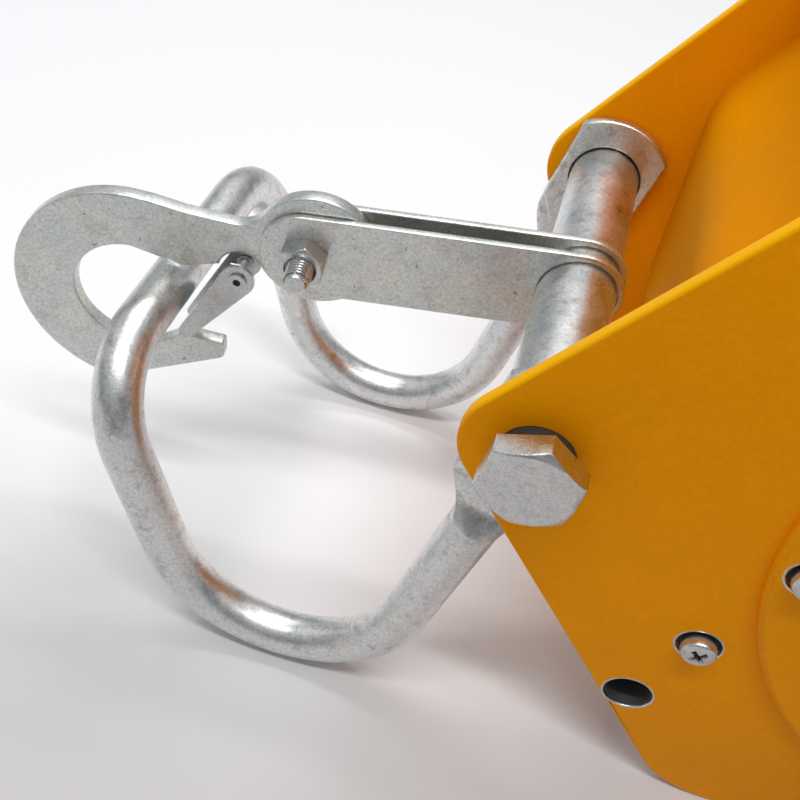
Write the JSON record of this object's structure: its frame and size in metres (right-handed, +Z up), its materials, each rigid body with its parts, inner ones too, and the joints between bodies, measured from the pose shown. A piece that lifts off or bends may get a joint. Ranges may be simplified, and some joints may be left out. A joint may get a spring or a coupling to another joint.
{
  "type": "come along winch",
  "caption": "Hand lever come along winch with yellow side plates, a ratchet rope drum, a bent rod bail and a latched flat hook on a link.",
  "frame": {"origin": "middle of the whole object's box, at floor level", "axes": "+X from the hook to the lever's grip, +Y from the lever side to the rear plate, +Z up"},
  "size_m": [0.731, 0.2126, 0.264],
  "materials": {
    "yellow_paint": "satin powder coat",
    "zinc_steel": "zinc plated, slightly scuffed",
    "black_bush": "matte black",
    "dark_steel": "oiled dark steel",
    "spring_steel": "bright spring wire",
    "bronze": "turned bronze",
    "grip_rubber": "ribbed matte rubber"
  },
  "bodies": {
    "frame": {"front_plate": "yellow_paint", "rear_plate": "yellow_paint", "anchor_bolt": "zinc_steel", "anchor_nut": "zinc_steel", "anchor_tube": "zinc_steel", "anchor_bushes": "black_bush", "drum_guard": "yellow_paint", "tie_posts": "zinc_steel", "nose_tubes": "yellow_paint", "frame_screws": "zinc_steel", "frame_bushes": "black_bush", "guard_nuts": "zinc_steel", "front_cover": "yellow_paint", "rear_cover": "yellow_paint", "cover_screws": "zinc_steel", "cover_bushes": "black_bush", "axle_bushes": "bronze", "hold_pawl_pin": "zinc_steel", "lever_stop": "zinc_steel"},
    "drum": {"drum_core": "zinc_steel", "front_flange": "zinc_steel", "rear_flange": "zinc_steel", "drum_axle": "dark_steel", "axle_nut": "zinc_steel", "axle_collar": "zinc_steel", "rope_clamp": "zinc_steel", "clamp_screws": "dark_steel", "ratchet_wheel": "dark_steel"},
    "lever": {"inner_cheek": "dark_steel", "outer_cheek": "dark_steel", "lever_arm": "zinc_steel", "lever_grip": "grip_rubber", "lever_bolts": "zinc_steel", "drive_pawl_pin": "zinc_steel"},
    "drive_pawl": {"drive_pawl": "dark_steel", "drive_pawl_spring": "spring_steel"},
    "hold_pawl": {"hold_pawl": "dark_steel", "hold_pawl_spring": "spring_steel"},
    "bail": {"bail": "zinc_steel"},
    "link": {"link_plate_front": "zinc_steel", "link_plate_rear": "zinc_steel", "hook_bolt": "zinc_steel", "hook_nut": "zinc_steel"},
    "hook": {"hook": "zinc_steel", "latch_rivet": "zinc_steel"},
    "latch": {"latch": "zinc_steel", "latch_spring": "spring_steel"}
  },
  "joints": [
    {"name": "drum_spin", "type": "hinge", "parent": "frame", "child": "drum", "pos_m": [-0.02448, 0.01425, 0.132], "axis": [0, 1, 0], "continuous": true},
    {"name": "lever_swing", "type": "hinge", "parent": "frame", "child": "lever", "pos_m": [-0.02448, -0.08025, 0.132], "axis": [0, -1, 0], "range_deg": [0, 105]},
    {"name": "drive_pawl_swing", "type": "hinge", "parent": "lever", "child": "drive_pawl", "pos_m": [0.03552, -0.08175, 0.12507], "axis": [0, -1, 0], "range_deg": [0, 18]},
    {"name": "hold_pawl_swing", "type": "hinge", "parent": "frame", "child": "hold_pawl", "pos_m": [-0.07181, -0.08025, 0.09447], "axis": [0, -1, 0], "range_deg": [0, 18]},
    {"name": "bail_swing", "type": "hinge", "parent": "frame", "child": "bail", "pos_m": [-0.19408, 0.01425, 0.132], "axis": [0, 1, 0], "range_deg": [0, 97]},
    {"name": "link_swing", "type": "hinge", "parent": "frame", "child": "link", "pos_m": [-0.19408, 0.01545, 0.132], "axis": [0, 1, 0], "range_deg": [0, 93.12]},
    {"name": "hook_pivot", "type": "hinge", "parent": "link", "child": "hook", "pos_m": [-0.27387, 0.00424, 0.12735], "axis": [-0.1392, 0.9903, 0], "range_deg": [0, 8.24]},
    {"name": "latch_pivot", "type": "hinge", "parent": "hook", "child": "latch", "pos_m": [-0.29308, 0.00154, 0.11535], "axis": [-0.1392, 0.9903, 0], "range_deg": [0, 3], "stiffness_Nm_per_rad": 0.05}
  ],
  "couplings": [
    {"joint": "link_swing", "follows": "bail_swing", "ratio": 0.96},
    {"joint": "hook_pivot", "follows": "bail_swing", "ratio": 0.085}
  ]
}
